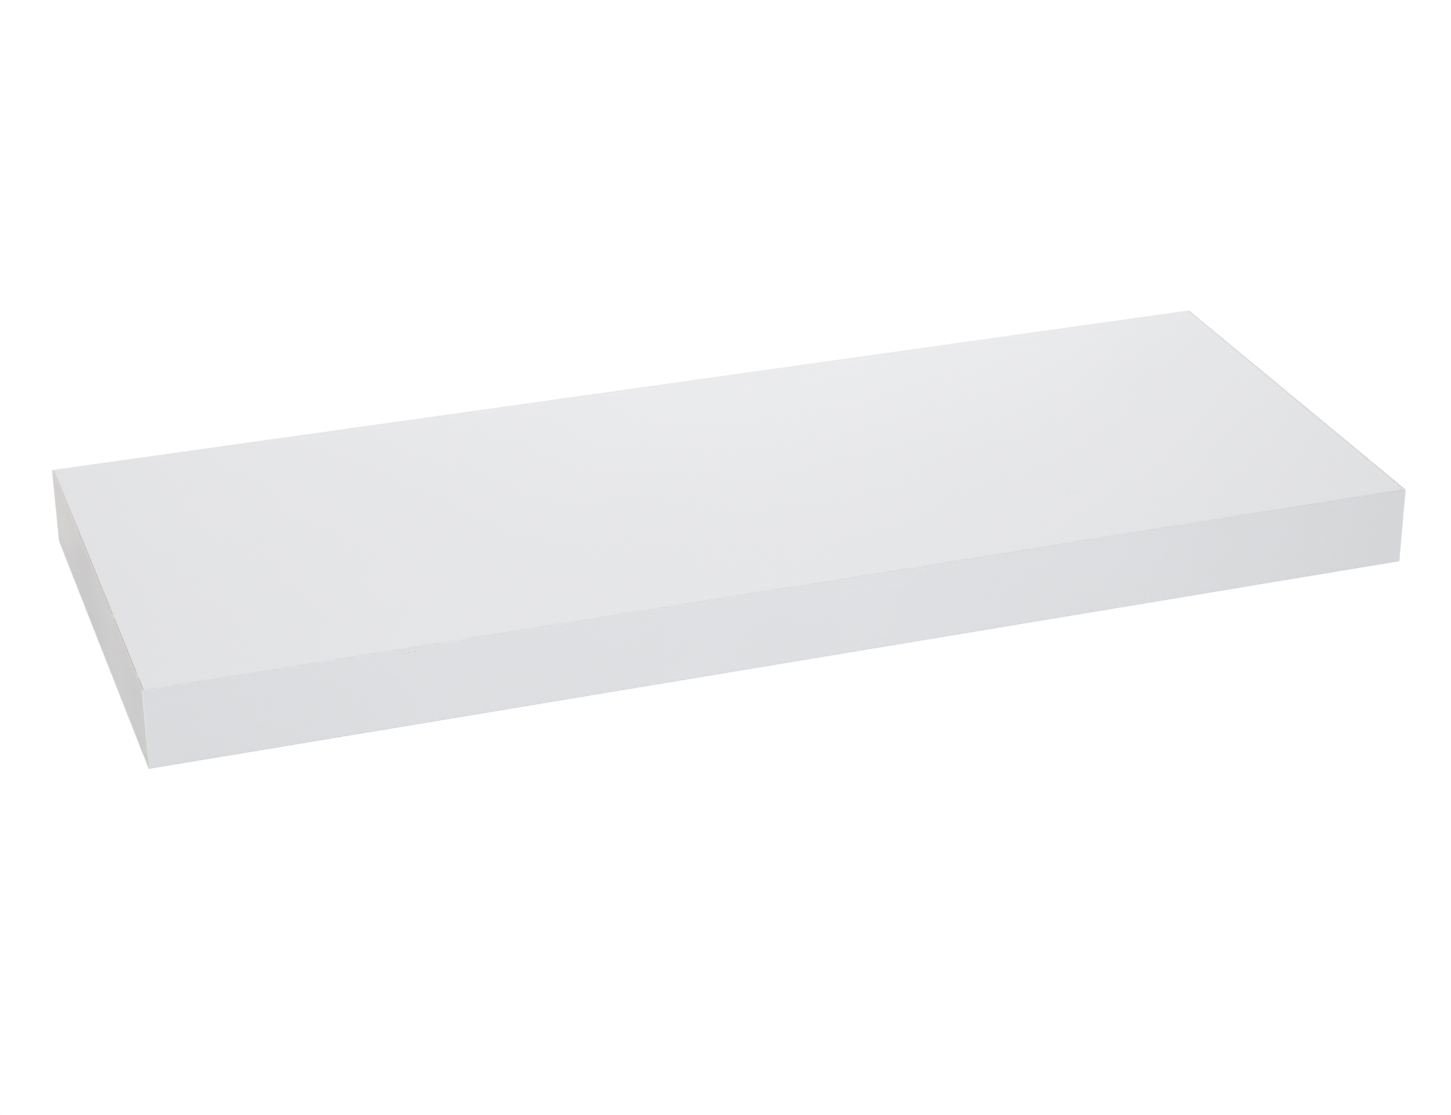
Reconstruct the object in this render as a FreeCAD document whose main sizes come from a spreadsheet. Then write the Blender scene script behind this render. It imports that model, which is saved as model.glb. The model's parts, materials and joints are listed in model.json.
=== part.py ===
"""Floating wall shelf: a hollow-core board that slides onto a hidden steel bracket.

Millimetres. +X runs along the shelf, +Y points into the wall, +Z is up. The origin is the middle
of the bracket strip's wall face, so the wall is the plane y = 0 and the board reaches out to -Y.
"""
import FreeCAD
import Part
import Sketcher
import math
import os
from types import SimpleNamespace

doc = FreeCAD.newDocument("FloatingShelf")
Vector = FreeCAD.Vector
SIDES = {"left": -1, "right": 1}


# Driving dimensions

DIMENSIONS = [
    ("board_length", "600", "overall length of the board"),
    ("board_depth", "235", "overall depth, wall to front"),
    ("board_thickness", "38", "overall thickness"),
    ("skin_thickness", "3", "white-faced fibreboard skins"),
    ("band_thickness", "0.8", "plastic edge band"),
    ("band_arris", "0.4", "radius trimmed on the band's outer edges"),
    ("front_rail_depth", "40", "chipboard rail behind the front band"),
    ("end_rail_width", "25", "chipboard rail behind each end band"),
    ("back_rail_depth", "22", "drilled rail that guides the rods"),
    ("screw_head_room", "5", "free depth in front of the strip for wall screw heads"),
    ("rod_spacing", "300", "between the two rods' axes"),
    ("rod_diameter", "12", "solid steel rod"),
    ("rod_reach", "120", "rod length in front of the strip"),
    ("rod_chamfer", "1.5", "lead-in on the rod's free end"),
    ("rod_clearance", "0.3", "radial play of a rod in its bore"),
    ("bore_lead", "1", "countersink at the mouth of each rod's bore"),
    ("rod_end_room", "5", "bore depth left beyond the rod's end"),
    ("block_width", "60", "chipboard block round each rod"),
    ("block_end_wall", "10", "block left beyond the end of the bore"),
    ("spigot_diameter", "8", "turned end of the rod, set in the strip"),
    ("weld_leg", "2.5", "fillet weld at the foot of each rod"),
    ("strip_thickness", "3", "bracket's steel strip"),
    ("strip_end_gap", "14.2", "strip's end to the end rail"),
    ("strip_edge_gap", "2", "strip's long edge to the skin"),
    ("strip_corner", "4", "rounded corners of the strip"),
    ("slot_width", "6.5", "wall screw slot"),
    ("slot_length", "14", "wall screw slot, end to end"),
    ("outer_slot_inset", "30", "strip's end to the outer slot's middle"),
    ("inner_slot_offset", "70", "rod axis to the inner slot's middle"),
    ("lock_diameter", "6", "locking screw"),
    ("lock_chamfer", "0.8", "both ends of the locking screw"),
    ("lock_gap", "0.3", "locking screw's point to the rod, backed off"),
    ("lock_recess", "2.7", "locking screw's head end below the underside"),
    ("lock_clearance", "0.15", "radial play of the locking screw in its insert"),
    ("socket_width", "3", "hexagon socket across flats"),
    ("socket_depth", "3.5", "hexagon socket"),
    ("insert_diameter", "10", "threaded insert's sleeve"),
    ("insert_cover", "2.2", "wood left between the insert and the rod's bore"),
    ("flange_diameter", "14", "threaded insert's flange"),
    ("flange_thickness", "1", "threaded insert's flange, flush with the underside"),
    ("cell_width", "25", "honeycomb cell across flats"),
    ("paper_thickness", "0.4", "honeycomb paper; glued walls are two sheets"),
    ("staple_crown", "12", "frame staple, overall"),
    ("staple_leg", "12", "frame staple, overall"),
    ("staple_wire", "1.2", "frame staple's square wire"),
    ("staple_offset", "5", "staples of the two faces, each side of the joint's middle"),
]

sheet = doc.addObject("Spreadsheet::Sheet", "Dimensions")
for row, (alias, text, meaning) in enumerate(DIMENSIONS, start=1):
    sheet.set(f"A{row}", meaning)
    sheet.set(f"B{row}", text)
    sheet.setAlias(f"B{row}", alias)
doc.recompute()


class Size:
    """A length in millimetres together with the sheet expression that drives it."""

    def __init__(self, value, text):
        self.value = value
        self.text = text

    def __add__(self, other):
        other = as_size(other)
        return Size(self.value + other.value, f"({self.text} + {other.text})")

    def __sub__(self, other):
        other = as_size(other)
        return Size(self.value - other.value, f"({self.text} - {other.text})")

    def __mul__(self, factor):
        return Size(self.value * factor, f"({self.text} * {factor})")

    __rmul__ = __mul__

    def __truediv__(self, divisor):
        return Size(self.value / divisor, f"({self.text} / {divisor})")

    def __neg__(self):
        return self * -1


def as_size(number):
    return number if isinstance(number, Size) else Size(float(number), str(float(number)))


def cell(alias):
    return Size(float(sheet.get(alias)), f"Dimensions.{alias}")


ZERO = as_size(0)
dim = SimpleNamespace(**{alias: cell(alias) for alias, _, _ in DIMENSIONS})


# Sizes and places worked out from the driving dimensions

half_thickness = dim.board_thickness / 2
inner_height = dim.board_thickness - 2 * dim.skin_thickness
half_inner_height = inner_height / 2
half_panel = dim.board_length / 2 - dim.band_thickness
half_inner_width = half_panel - dim.end_rail_width

panel_front_y = -(dim.board_depth - dim.band_thickness)
core_front_y = panel_front_y + dim.front_rail_depth
back_rail_back_y = -(dim.strip_thickness + dim.screw_head_room)
back_rail_front_y = back_rail_back_y - dim.back_rail_depth

rod_x = dim.rod_spacing / 2
rod_radius = dim.rod_diameter / 2
bore_radius = rod_radius + dim.rod_clearance
rod_end_y = -(dim.strip_thickness + dim.rod_reach)
bore_end_y = rod_end_y - dim.rod_end_room
block_front_y = bore_end_y - dim.block_end_wall

half_strip_length = half_inner_width - dim.strip_end_gap
half_strip_height = half_inner_height - dim.strip_edge_gap
outer_slot_x = half_strip_length - dim.outer_slot_inset
inner_slot_x = rod_x - dim.inner_slot_offset

lock_y = back_rail_back_y - dim.back_rail_depth / 2
lock_radius = dim.lock_diameter / 2
lock_top_z = -(rod_radius + dim.lock_gap)
lock_bottom_z = dim.lock_recess - half_thickness
insert_top_z = -(bore_radius + dim.insert_cover)
lock_hole_radius = lock_radius + dim.lock_clearance


# Modelling helpers

def bind(thing, **sizes):
    """Ties properties to the sheet. A double underscore stands for a dot in the property's path."""
    for path, size in sizes.items():
        thing.setExpression(path.replace("__", "."), as_size(size).text)


def place(thing, x=ZERO, y=ZERO, z=ZERO):
    bind(thing, Placement__Base__x=x, Placement__Base__y=y, Placement__Base__z=z)


def board(label, low, high):
    """A square-cut board between two opposite corners."""
    box = doc.addObject("Part::Box", label)
    place(box, *low)
    bind(box, Length=high[0] - low[0], Width=high[1] - low[1], Height=high[2] - low[2])
    return box


def new_body(label):
    return doc.addObject("PartDesign::Body", label)


def new_sketch(body, plane, offset=ZERO):
    """A sketch on one of the body's own origin planes, moved along the plane's normal by offset."""
    sketch = body.newObject("Sketcher::SketchObject", f"{body.Label}_sketch")
    support = next(f for f in body.Origin.OriginFeatures if f.Role == plane)
    sketch.AttachmentSupport = [(support, "")]
    sketch.MapMode = "FlatFace"
    bind(sketch, AttachmentOffset__Base__z=offset)
    return sketch


def pin_point(sketch, geometry, position, x, y):
    """Holds one sketch point at x, y, measured from the sketch's origin.

    A sketch counts its own X axis as geometry -1, whose point 1 is the origin, and its Y axis as -2.
    """
    for kind, size, axis in (("DistanceX", x, -2), ("DistanceY", y, -1)):
        if size.value == 0:
            sketch.addConstraint(Sketcher.Constraint("PointOnObject", geometry, position, axis))
            continue
        index = sketch.addConstraint(Sketcher.Constraint(kind, -1, 1, geometry, position, size.value))
        sketch.setExpression(f"Constraints[{index}]", size.text)


def outline(sketch, corners):
    """A closed outline of straight lines through the given (x, y) corners."""
    points = [Vector(x.value, y.value, 0) for x, y in corners]
    lines = [
        sketch.addGeometry(Part.LineSegment(start, end))
        for start, end in zip(points, points[1:] + points[:1])
    ]
    for line, following in zip(lines, lines[1:] + lines[:1]):
        sketch.addConstraint(Sketcher.Constraint("Coincident", line, 2, following, 1))
    for line, (x, y) in zip(lines, corners):
        pin_point(sketch, line, 1, x, y)


def rectangle(sketch, low, high):
    outline(sketch, [low, (high[0], low[1]), high, (low[0], high[1])])


def circle(sketch, x, y, radius):
    ring = sketch.addGeometry(Part.Circle(Vector(x.value, y.value, 0), Vector(0, 0, 1), radius.value))
    pin_point(sketch, ring, 3, x, y)
    index = sketch.addConstraint(Sketcher.Constraint("Radius", ring, radius.value))
    sketch.setExpression(f"Constraints[{index}]", radius.text)


def slot(sketch, x, width, length):
    """A slot with round ends, lying along the sketch's X axis with its middle at x."""
    radius = width / 2
    left_x = x - (length - width) / 2
    right_x = x + (length - width) / 2
    up, quarter = Vector(0, 0, 1), math.pi / 2
    left = Part.Circle(Vector(left_x.value, 0, 0), up, radius.value)
    right = Part.Circle(Vector(right_x.value, 0, 0), up, radius.value)
    left_end = sketch.addGeometry(Part.ArcOfCircle(left, quarter, 3 * quarter))
    right_end = sketch.addGeometry(Part.ArcOfCircle(right, -quarter, quarter))
    top, bottom = (
        sketch.addGeometry(Part.LineSegment(Vector(left_x.value, y, 0), Vector(right_x.value, y, 0)))
        for y in (radius.value, -radius.value)
    )
    for arc, arc_end, line, line_end in (
        (left_end, 1, top, 1), (left_end, 2, bottom, 1), (right_end, 1, bottom, 2), (right_end, 2, top, 2),
    ):
        sketch.addConstraint(Sketcher.Constraint("Tangent", arc, arc_end, line, line_end))
    pin_point(sketch, left_end, 3, left_x, ZERO)
    pin_point(sketch, right_end, 3, right_x, ZERO)
    sketch.addConstraint(Sketcher.Constraint("Equal", left_end, right_end))
    index = sketch.addConstraint(Sketcher.Constraint("Radius", left_end, radius.value))
    sketch.setExpression(f"Constraints[{index}]", radius.text)


def pad(body, sketch, length, reverse=False):
    feature = body.newObject("PartDesign::Pad", f"{body.Label}_pad")
    feature.Profile = sketch
    feature.Reversed = reverse
    bind(feature, Length=length)
    doc.recompute()
    return feature


def pocket(body, sketch, depth=None, reverse=False):
    """Cuts a sketch into the body, through everything unless a depth is given, and checks that it cut."""
    before = body.Shape.Volume
    feature = body.newObject("PartDesign::Pocket", f"{body.Label}_pocket")
    feature.Profile = sketch
    feature.Reversed = reverse
    if depth is None:
        feature.Type = "ThroughAll"
        feature.Midplane = True
    else:
        bind(feature, Length=depth)
    doc.recompute()
    if body.Shape.Volume >= before:
        raise RuntimeError(f"a pocket in {body.Label} cut nothing")
    return feature


def revolve(body, sketch):
    """Turns a half section about the sketch's upright axis."""
    feature = body.newObject("PartDesign::Revolution", f"{body.Label}_turning")
    feature.Profile = sketch
    feature.ReferenceAxis = (sketch, ["V_Axis"])
    feature.Angle = 360
    doc.recompute()
    return feature


def find_edges(feature, wanted):
    """Names those edges of a feature whose middle satisfies wanted(point)."""
    edges = enumerate(feature.Shape.Edges, start=1)
    return [f"Edge{number}" for number, edge in edges if wanted(edge.CenterOfMass)]


def round_edges(body, feature, radius, wanted):
    fillet = body.newObject("PartDesign::Fillet", f"{body.Label}_arris")
    fillet.Base = (feature, find_edges(feature, wanted))
    bind(fillet, Radius=radius)
    doc.recompute()
    return fillet


def bevel_edges(body, feature, size, wanted):
    chamfer = body.newObject("PartDesign::Chamfer", f"{body.Label}_bevel")
    chamfer.Base = (feature, find_edges(feature, wanted))
    bind(chamfer, Size=size)
    doc.recompute()
    return chamfer


def cut(label, base, tool):
    feature = doc.addObject("Part::Cut", label)
    feature.Base = base
    feature.Tool = tool
    return feature


def group(label, members):
    feature = doc.addObject("Part::Compound", label)
    feature.Links = members
    return feature


def near(a, b, tolerance=1e-6):
    return abs(a - b) < tolerance


# Skins and edge bands, which make the white faces

def make_top_skin():
    return board(
        "top_skin",
        (-half_panel, panel_front_y, half_inner_height),
        (half_panel, ZERO, half_thickness),
    )


def make_bottom_skin():
    """The lower skin, with a stepped hole for each locking screw's insert."""
    body = new_body("bottom_skin")
    face = new_sketch(body, "XY_Plane", -half_thickness)
    rectangle(face, (-half_panel, panel_front_y), (half_panel, ZERO))
    pad(body, face, dim.skin_thickness)
    steps = ((dim.insert_diameter, dim.skin_thickness), (dim.flange_diameter, dim.flange_thickness))
    for diameter, depth in steps:
        holes = new_sketch(body, "XY_Plane", -half_thickness)
        for side in SIDES.values():
            circle(holes, side * rod_x, lock_y, diameter / 2)
        pocket(body, holes, depth, reverse=True)
    return body


def make_front_band():
    """The front band runs the full length and covers the end bands' front edges."""
    body = new_body("front_edge_band")
    face = new_sketch(body, "XZ_Plane", -panel_front_y)
    rectangle(face, (-dim.board_length / 2, -half_thickness), (dim.board_length / 2, half_thickness))
    strip = pad(body, face, dim.band_thickness)
    round_edges(body, strip, dim.band_arris, lambda middle: near(middle.y, -dim.board_depth.value))
    return body


def make_end_band(name, side):
    body = new_body(f"{name}_edge_band")
    face = new_sketch(body, "YZ_Plane", side * half_panel)
    rectangle(face, (panel_front_y, -half_thickness), (ZERO, half_thickness))
    strip = pad(body, face, dim.band_thickness, reverse=side < 0)
    outer_x = side * dim.board_length.value / 2
    round_edges(
        body, strip, dim.band_arris,
        lambda middle: near(middle.x, outer_x) and not near(middle.y, panel_front_y.value),
    )
    return body


# Frame between the skins: rails, rod blocks, staples and the honeycomb core

def make_staple(label, x, y, along_y, downward):
    """One square-wire staple, its crown flush with a frame face and centred on a butt joint."""
    body = new_body(label)
    section = new_sketch(body, "XZ_Plane")
    outside, foot, crotch = dim.staple_crown / 2, -dim.staple_leg, -dim.staple_wire
    inside = outside - dim.staple_wire
    outline(section, [
        (-outside, ZERO), (-outside, foot), (-inside, foot), (-inside, crotch),
        (inside, crotch), (inside, foot), (outside, foot), (outside, ZERO),
    ])
    wire = pad(body, section, dim.staple_wire)
    wire.Midplane = True
    turn = FreeCAD.Rotation(Vector(0, 0, 1), 90 if along_y else 0)
    if not downward:
        turn = turn.multiply(FreeCAD.Rotation(Vector(1, 0, 0), 180))
    body.Placement = FreeCAD.Placement(Vector(), turn)
    place(body, x, y, half_inner_height if downward else -half_inner_height)
    return body


def make_staples():
    """Two staples at each corner of the frame, one in each face, side by side."""
    rail_middle_x = half_panel - dim.end_rail_width / 2
    staples = []
    for name, side in SIDES.items():
        for face, downward, step in (("top", True, 1), ("bottom", False, -1)):
            shift = step * dim.staple_offset
            staples.append(make_staple(
                f"{name}_front_{face}_staple", side * (rail_middle_x + shift), core_front_y, True, downward,
            ))
            staples.append(make_staple(
                f"{name}_back_{face}_staple", side * half_inner_width, lock_y + shift, False, downward,
            ))
    return group("corner_staples", staples)


def make_front_rail(staples):
    blank = board(
        "front_rail_blank",
        (-half_panel, panel_front_y, -half_inner_height),
        (half_panel, core_front_y, half_inner_height),
    )
    return cut("front_rail", blank, staples)


def make_end_rail(name, side, staples):
    low_x, high_x = sorted((side * half_inner_width, side * half_panel), key=lambda x: x.value)
    blank = board(
        f"{name}_end_rail_blank",
        (low_x, core_front_y, -half_inner_height),
        (high_x, ZERO, half_inner_height),
    )
    return cut(f"{name}_end_rail", blank, staples)


def make_back_rail(staples):
    """The drilled rail: a countersunk bore for each rod, a hole from below for each insert and screw."""
    body = new_body("back_rail_drilled")
    end = new_sketch(body, "XZ_Plane", -back_rail_back_y)
    rectangle(end, (-half_inner_width, -half_inner_height), (half_inner_width, half_inner_height))
    pad(body, end, dim.back_rail_depth)
    rod_bores = new_sketch(body, "XZ_Plane")
    insert_holes = new_sketch(body, "XY_Plane", -half_inner_height)
    screw_holes = new_sketch(body, "XY_Plane", insert_top_z)
    for side in SIDES.values():
        circle(rod_bores, side * rod_x, ZERO, bore_radius)
        circle(insert_holes, side * rod_x, lock_y, dim.insert_diameter / 2)
        circle(screw_holes, side * rod_x, lock_y, lock_hole_radius)
    bored = pocket(body, rod_bores)
    bevel_edges(
        body, bored, dim.bore_lead,
        lambda middle: near(abs(middle.x), rod_x.value) and near(middle.y, back_rail_back_y.value),
    )
    pocket(body, insert_holes, insert_top_z + half_inner_height, reverse=True)
    pocket(body, screw_holes, -insert_top_z, reverse=True)
    return cut("back_rail", body, staples)


def make_rod_block(name, side):
    """A block behind the back rail, with the blind bore that carries a rod along its length."""
    body = new_body(f"{name}_rod_block")
    end = new_sketch(body, "XZ_Plane", -back_rail_front_y)
    centre, half_width = side * rod_x, dim.block_width / 2
    rectangle(end, (centre - half_width, -half_inner_height), (centre + half_width, half_inner_height))
    pad(body, end, back_rail_front_y - block_front_y)
    bore = new_sketch(body, "XZ_Plane", -back_rail_front_y)
    circle(bore, centre, ZERO, bore_radius)
    pocket(body, bore, back_rail_front_y - bore_end_y, reverse=True)
    return body


def core_outline():
    """The core's plan: the space inside the frame, notched round the two rod blocks."""
    right, back, front = half_inner_width.value, back_rail_front_y.value, core_front_y.value
    notch_front, half_block = block_front_y.value, dim.block_width.value / 2
    corners = [(-right, front), (right, front), (right, back)]
    for centre in (rod_x.value, -rod_x.value):
        corners += [
            (centre + half_block, back), (centre + half_block, notch_front),
            (centre - half_block, notch_front), (centre - half_block, back),
        ]
    corners.append((-right, back))
    points = [Vector(x, y, 0) for x, y in corners]
    return Part.Face(Part.makePolygon(points + points[:1]))


def hexagon(centre):
    """A honeycomb cell with two walls square to X, the walls that are glued to the next ribbon."""
    reach = dim.cell_width.value / math.sqrt(3)
    points = [
        centre + Vector(reach * math.sin(turn), reach * math.cos(turn), 0)
        for turn in (math.radians(60 * corner) for corner in range(6))
    ]
    return Part.Face(Part.makePolygon(points + points[:1]))


def make_honeycomb_core():
    """Expanded paper honeycomb, one sheet on the slanting cell walls and two on the glued ones."""
    plan = core_outline()
    inside = plan.makeOffset2D(-dim.paper_thickness.value, 2)
    width, paper = dim.cell_width.value, dim.paper_thickness.value
    pitch_x = width + 2 * paper
    pitch_y = (width + paper - pitch_x / 4) / math.cos(math.radians(30))
    smallest = pitch_x * paper
    box = plan.BoundBox
    middle = box.Center
    rows = math.ceil(box.YLength / 2 / pitch_y) + 1
    columns = math.ceil(box.XLength / 2 / pitch_x) + 1
    cells = []
    for row in range(-rows, rows + 1):
        stagger = pitch_x / 2 if row % 2 else 0
        for column in range(-columns, columns + 1):
            centre = Vector(middle.x + column * pitch_x + stagger, middle.y + row * pitch_y, 0)
            pieces = hexagon(centre).common(inside).Faces
            cells += [piece.OuterWire for piece in pieces if piece.Area > smallest]
    lattice = Part.makeFace([plan.OuterWire, *cells], "Part::FaceMakerBullseye")
    core = doc.addObject("Part::Feature", "honeycomb_core")
    core.Shape = lattice.extrude(Vector(0, 0, inner_height.value))
    core.Placement = FreeCAD.Placement(Vector(0, 0, -half_inner_height.value), FreeCAD.Rotation())
    print(f"honeycomb core: {len(cells)} cells")
    return core


# Bracket: slotted strip, two rods and their welds

def make_wall_strip():
    body = new_body("wall_strip")
    face = new_sketch(body, "XZ_Plane")
    rectangle(face, (-half_strip_length, -half_strip_height), (half_strip_length, half_strip_height))
    plate = pad(body, face, dim.strip_thickness)
    half_length, half_height = half_strip_length.value, half_strip_height.value
    round_edges(
        body, plate, dim.strip_corner,
        lambda middle: near(abs(middle.x), half_length) and near(abs(middle.z), half_height),
    )
    openings = new_sketch(body, "XZ_Plane")
    for side in SIDES.values():
        circle(openings, side * rod_x, ZERO, dim.spigot_diameter / 2)
        for x in (outer_slot_x, inner_slot_x):
            slot(openings, side * x, dim.slot_width, dim.slot_length)
    pocket(body, openings)
    return body


def make_rod(name, side):
    """A turned rod: spigot flush in the strip, plain shank, chamfered free end."""
    body = new_body(f"{name}_rod")
    section = new_sketch(body, "XY_Plane")
    outline(section, [
        (ZERO, ZERO), (dim.spigot_diameter / 2, ZERO), (dim.spigot_diameter / 2, -dim.strip_thickness),
        (rod_radius, -dim.strip_thickness), (rod_radius, rod_end_y + dim.rod_chamfer),
        (rod_radius - dim.rod_chamfer, rod_end_y), (ZERO, rod_end_y),
    ])
    revolve(body, section)
    place(body, side * rod_x)
    return body


def make_welds():
    """A fillet weld all round the foot of each rod."""
    rings = []
    for name, side in SIDES.items():
        body = new_body(f"{name}_rod_weld")
        section = new_sketch(body, "XY_Plane")
        outline(section, [
            (rod_radius, -dim.strip_thickness), (rod_radius + dim.weld_leg, -dim.strip_thickness),
            (rod_radius, -(dim.strip_thickness + dim.weld_leg)),
        ])
        revolve(body, section)
        place(body, side * rod_x)
        rings.append(body)
    return group("rod_welds", rings)


# Locking screws and the inserts they run in

def make_insert(name, side):
    """A flanged sleeve pressed in from below; its bore holds the locking screw's thread."""
    body = new_body(f"{name}_lock_insert")
    section = new_sketch(body, "XZ_Plane")
    flange_top_z = dim.flange_thickness - half_thickness
    outline(section, [
        (lock_hole_radius, -half_thickness), (dim.flange_diameter / 2, -half_thickness),
        (dim.flange_diameter / 2, flange_top_z), (dim.insert_diameter / 2, flange_top_z),
        (dim.insert_diameter / 2, insert_top_z), (lock_hole_radius, insert_top_z),
    ])
    revolve(body, section)
    place(body, side * rod_x, lock_y)
    return body


def make_lock_screw(name, side):
    """A socket set screw that pinches the rod from below."""
    body = new_body(f"{name}_lock_screw")
    section = new_sketch(body, "XZ_Plane")
    point_radius = lock_radius - dim.lock_chamfer
    outline(section, [
        (ZERO, lock_bottom_z), (point_radius, lock_bottom_z), (lock_radius, lock_bottom_z + dim.lock_chamfer),
        (lock_radius, lock_top_z - dim.lock_chamfer), (point_radius, lock_top_z), (ZERO, lock_top_z),
    ])
    revolve(body, section)
    socket = new_sketch(body, "XY_Plane", lock_bottom_z)
    flat, low, high = dim.socket_width / 2, dim.socket_width / math.sqrt(12), dim.socket_width / math.sqrt(3)
    outline(socket, [(flat, -low), (flat, low), (ZERO, high), (-flat, low), (-flat, -low), (ZERO, -high)])
    pocket(body, socket, dim.socket_depth, reverse=True)
    place(body, side * rod_x, lock_y)
    return body


# Assembly

staples = make_staples()
nodes = [
    make_top_skin(), make_bottom_skin(), make_front_band(), staples,
    make_front_rail(staples), make_back_rail(staples), make_honeycomb_core(),
    make_wall_strip(), make_welds(),
]
for side_name, side_sign in SIDES.items():
    nodes += [
        make_end_band(side_name, side_sign),
        make_end_rail(side_name, side_sign, staples),
        make_rod_block(side_name, side_sign),
        make_rod(side_name, side_sign),
        make_insert(side_name, side_sign),
        make_lock_screw(side_name, side_sign),
    ]
doc.recompute()

for thing in doc.Objects:
    if {"Invalid", "Error"} & set(thing.State):
        raise RuntimeError(f"{thing.Label} failed to rebuild")
for node in nodes:
    if node.Shape.isNull() or not node.Shape.isValid() or not node.Shape.Solids:
        raise RuntimeError(f"{node.Label} is not a valid solid")

os.makedirs("parts", exist_ok=True)
for node in nodes:
    node.Shape.exportStep(os.path.join("parts", f"{node.Label}.step"))
    print(f"{node.Label}: {len(node.Shape.Solids)} solid(s), {node.Shape.Volume:.1f} mm3")
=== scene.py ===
# Floating wall shelf: the pieces that show, their finishes, the light and the camera
import json
import math

import bmesh
import bpy
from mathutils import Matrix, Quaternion, Vector

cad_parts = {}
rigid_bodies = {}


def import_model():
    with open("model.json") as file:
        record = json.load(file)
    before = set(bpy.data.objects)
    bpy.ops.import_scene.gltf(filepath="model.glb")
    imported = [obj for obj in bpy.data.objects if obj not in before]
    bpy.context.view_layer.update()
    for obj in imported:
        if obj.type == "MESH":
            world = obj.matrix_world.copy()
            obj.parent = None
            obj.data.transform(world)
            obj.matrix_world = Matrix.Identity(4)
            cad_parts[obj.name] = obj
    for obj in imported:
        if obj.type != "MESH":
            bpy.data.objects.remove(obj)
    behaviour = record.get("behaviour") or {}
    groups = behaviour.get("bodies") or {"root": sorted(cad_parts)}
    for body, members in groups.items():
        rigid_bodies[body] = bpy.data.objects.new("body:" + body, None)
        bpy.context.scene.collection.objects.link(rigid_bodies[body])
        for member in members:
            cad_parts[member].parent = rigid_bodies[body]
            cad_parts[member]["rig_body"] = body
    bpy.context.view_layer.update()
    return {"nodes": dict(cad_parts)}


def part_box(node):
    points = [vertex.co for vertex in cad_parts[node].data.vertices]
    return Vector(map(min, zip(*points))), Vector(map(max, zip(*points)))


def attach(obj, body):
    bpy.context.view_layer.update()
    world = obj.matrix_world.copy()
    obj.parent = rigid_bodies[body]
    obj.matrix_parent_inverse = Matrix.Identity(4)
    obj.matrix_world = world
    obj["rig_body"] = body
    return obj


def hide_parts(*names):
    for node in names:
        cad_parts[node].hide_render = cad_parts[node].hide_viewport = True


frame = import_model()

mm = 0.001
scene = bpy.context.scene
scene.view_settings.view_transform = "Standard"


# Small helpers for shader trees

noiseSpan = (0.3, 0.7)       # most of a noise lies between these values
wideSpan = (0.25, 0.75)      # and nearly all of it between these


def addNode(tree, kind, inputs=None, **settings):
    made = tree.nodes.new(kind)
    for name, value in settings.items():
        setattr(made, name, value)
    for name, value in (inputs or {}).items():
        if isinstance(value, bpy.types.NodeSocket):
            tree.links.new(value, made.inputs[name])
        else:
            made.inputs[name].default_value = value
    return made


def feed(tree, inputs, sources):
    for label, source in sources.items():
        tree.links.new(source, inputs[label])


def sums(tree, operation, *values):
    return addNode(tree, "ShaderNodeMath", dict(enumerate(values)), operation=operation).outputs[0]


def blendValues(tree, share, first, second):       # a share of the first, and the rest of the second
    return sums(tree, "MULTIPLY_ADD", first, share, sums(tree, "MULTIPLY", second, 1 - share))


def ramp(tree, value, fromLow, fromHigh, toLow=0.0, toHigh=1.0):
    wanted = dict(enumerate((value, fromLow, fromHigh, toLow, toHigh)))
    return addNode(tree, "ShaderNodeMapRange", wanted, interpolation_type="SMOOTHSTEP").outputs[0]


def mixColors(tree, factor, first, second):
    return addNode(tree, "ShaderNodeMix", {0: factor, 6: first, 7: second}, data_type="RGBA").outputs[2]


def noise(tree, vector, scale, detail=2.0):
    wanted = {"Vector": vector, "Scale": scale, "Detail": detail}
    return addNode(tree, "ShaderNodeTexNoise", wanted).outputs[0]


def noiseAlong(tree, distance, scale, detail=2.0):
    wanted = {"W": distance, "Scale": scale, "Detail": detail}
    return addNode(tree, "ShaderNodeTexNoise", wanted, noise_dimensions="1D").outputs[0]


def stretched(tree, vector, scale):
    return addNode(tree, "ShaderNodeMapping", {"Vector": vector, "Scale": scale}).outputs[0]


def axes(tree, vector):
    return addNode(tree, "ShaderNodeSeparateXYZ", {0: vector}).outputs


def chances(tree, color):        # a cell's random colour as three random numbers
    return addNode(tree, "ShaderNodeSeparateColor", {0: color}).outputs


def edgeMask(tree):              # the mark that markEdge leaves on trimmed or rubbed edges
    return addNode(tree, "ShaderNodeAttribute", attribute_name="edge").outputs["Fac"]


def bump(tree, height, distance, strength=1.0):
    wanted = {"Strength": strength, "Distance": distance, "Height": height}
    return addNode(tree, "ShaderNodeBump", wanted).outputs[0]


socketKinds = {float: "NodeSocketFloat", Vector: "NodeSocketVector", tuple: "NodeSocketColor"}


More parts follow.
